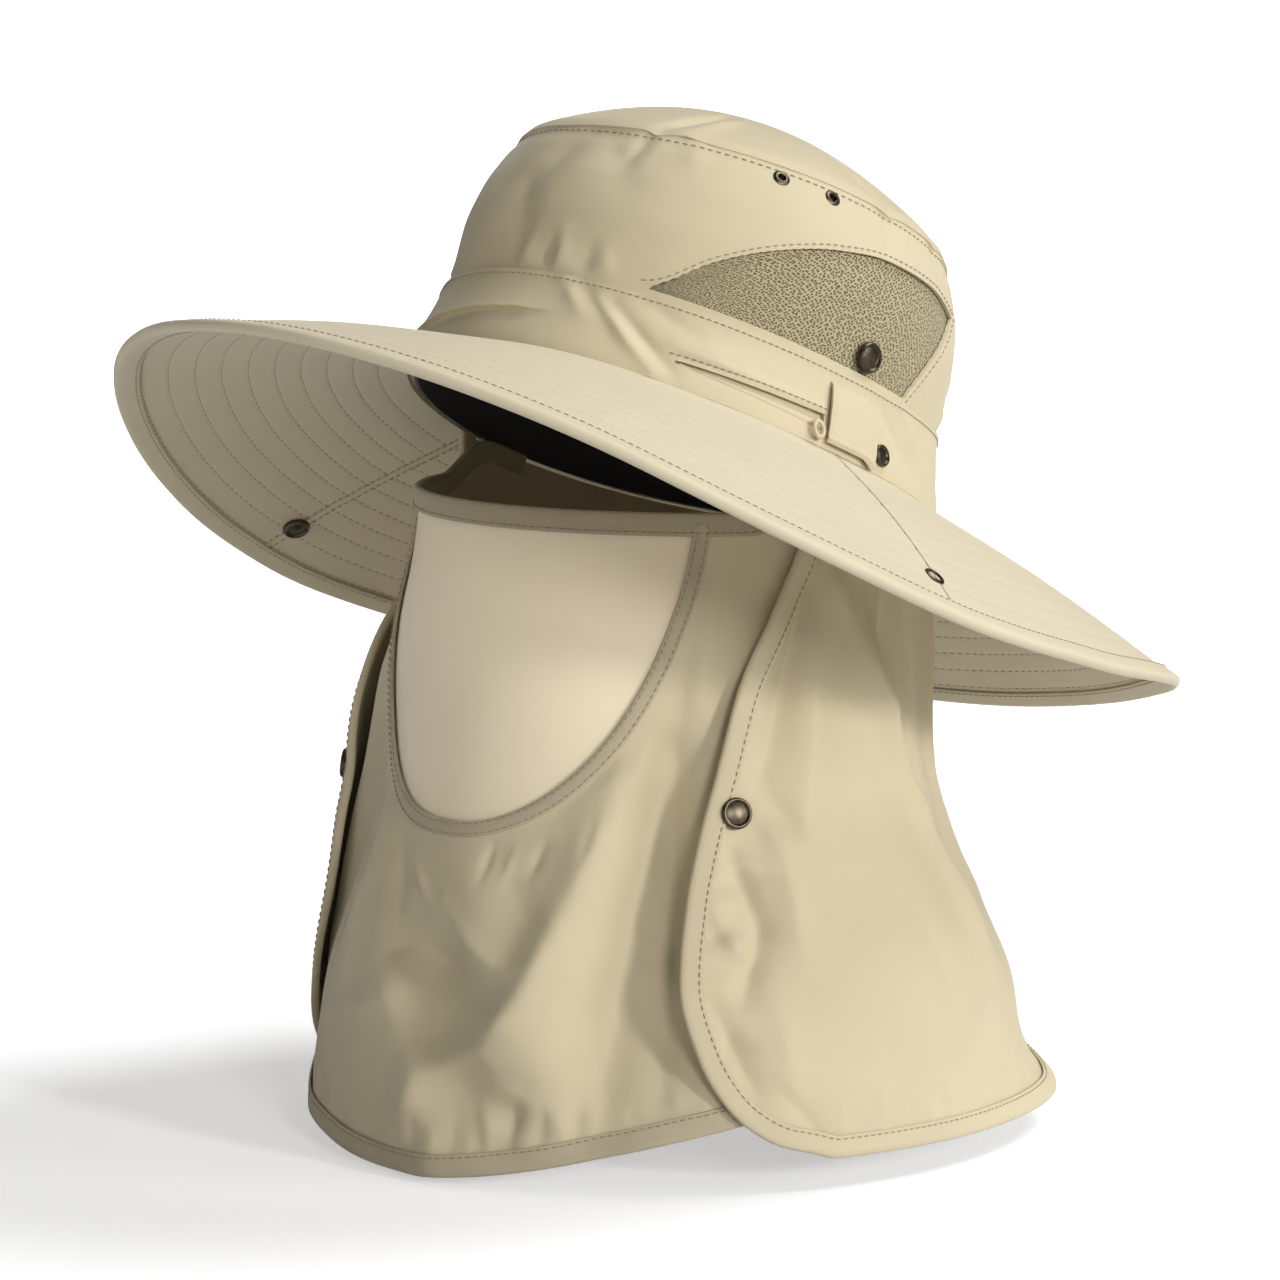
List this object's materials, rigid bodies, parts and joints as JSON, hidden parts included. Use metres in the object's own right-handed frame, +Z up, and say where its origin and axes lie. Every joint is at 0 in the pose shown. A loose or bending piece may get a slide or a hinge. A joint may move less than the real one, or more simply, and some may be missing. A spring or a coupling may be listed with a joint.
{
  "type": "sun hat with neck flap and face cover",
  "caption": "Wide-brimmed sun hat with a vented crown, an adjustable band, a hanging neck flap and a snapped-on face cover.",
  "frame": {"origin": "where the head sits: the middle of the seam between crown and brim", "axes": "+Z up, front of the hat along -Y, wearer's left along +X"},
  "size_m": [0.3368, 0.3702, 0.3379],
  "materials": {
    "cloth": "fine smooth woven polyester, khaki, slight sheen",
    "trim": "folded woven tape, greyer khaki, stitched",
    "vent_mesh": "open knitted mesh, olive",
    "lining": "charcoal woven cloth",
    "snap_metal": "dark bronzed pressed metal, glossy"
  },
  "bodies": {
    "root": {"adjuster_strap_left": "trim", "adjuster_strap_right": "trim", "band_snap_left": "snap_metal", "band_snap_right": "snap_metal", "belt_loop_left": "cloth", "belt_loop_right": "cloth", "brim": "cloth", "brim_binding": "trim", "brim_snap_left": "snap_metal", "brim_snap_right": "snap_metal", "brim_stud_left": "snap_metal", "brim_stud_right": "snap_metal", "crown_band": "cloth", "crown_snap_left": "snap_metal", "crown_snap_right": "snap_metal", "crown_tip": "cloth", "crown_wall": "cloth", "eyelet_left_1": "snap_metal", "eyelet_left_2": "snap_metal", "eyelet_right_1": "snap_metal", "eyelet_right_2": "snap_metal", "face_panel": "cloth", "flap_binding": "trim", "flap_loop_left": "trim", "flap_loop_right": "trim", "flap_snap_left": "snap_metal", "flap_snap_right": "snap_metal", "keeper_left": "snap_metal", "keeper_right": "snap_metal", "neck_flap": "cloth", "panel_tape": "trim", "sweatband": "lining", "tab_left": "lining", "tab_right": "lining", "veil": "cloth", "veil_hem": "trim", "veil_top_band": "trim", "vent_left": "vent_mesh", "vent_right": "vent_mesh"}
  },
  "joints": []
}
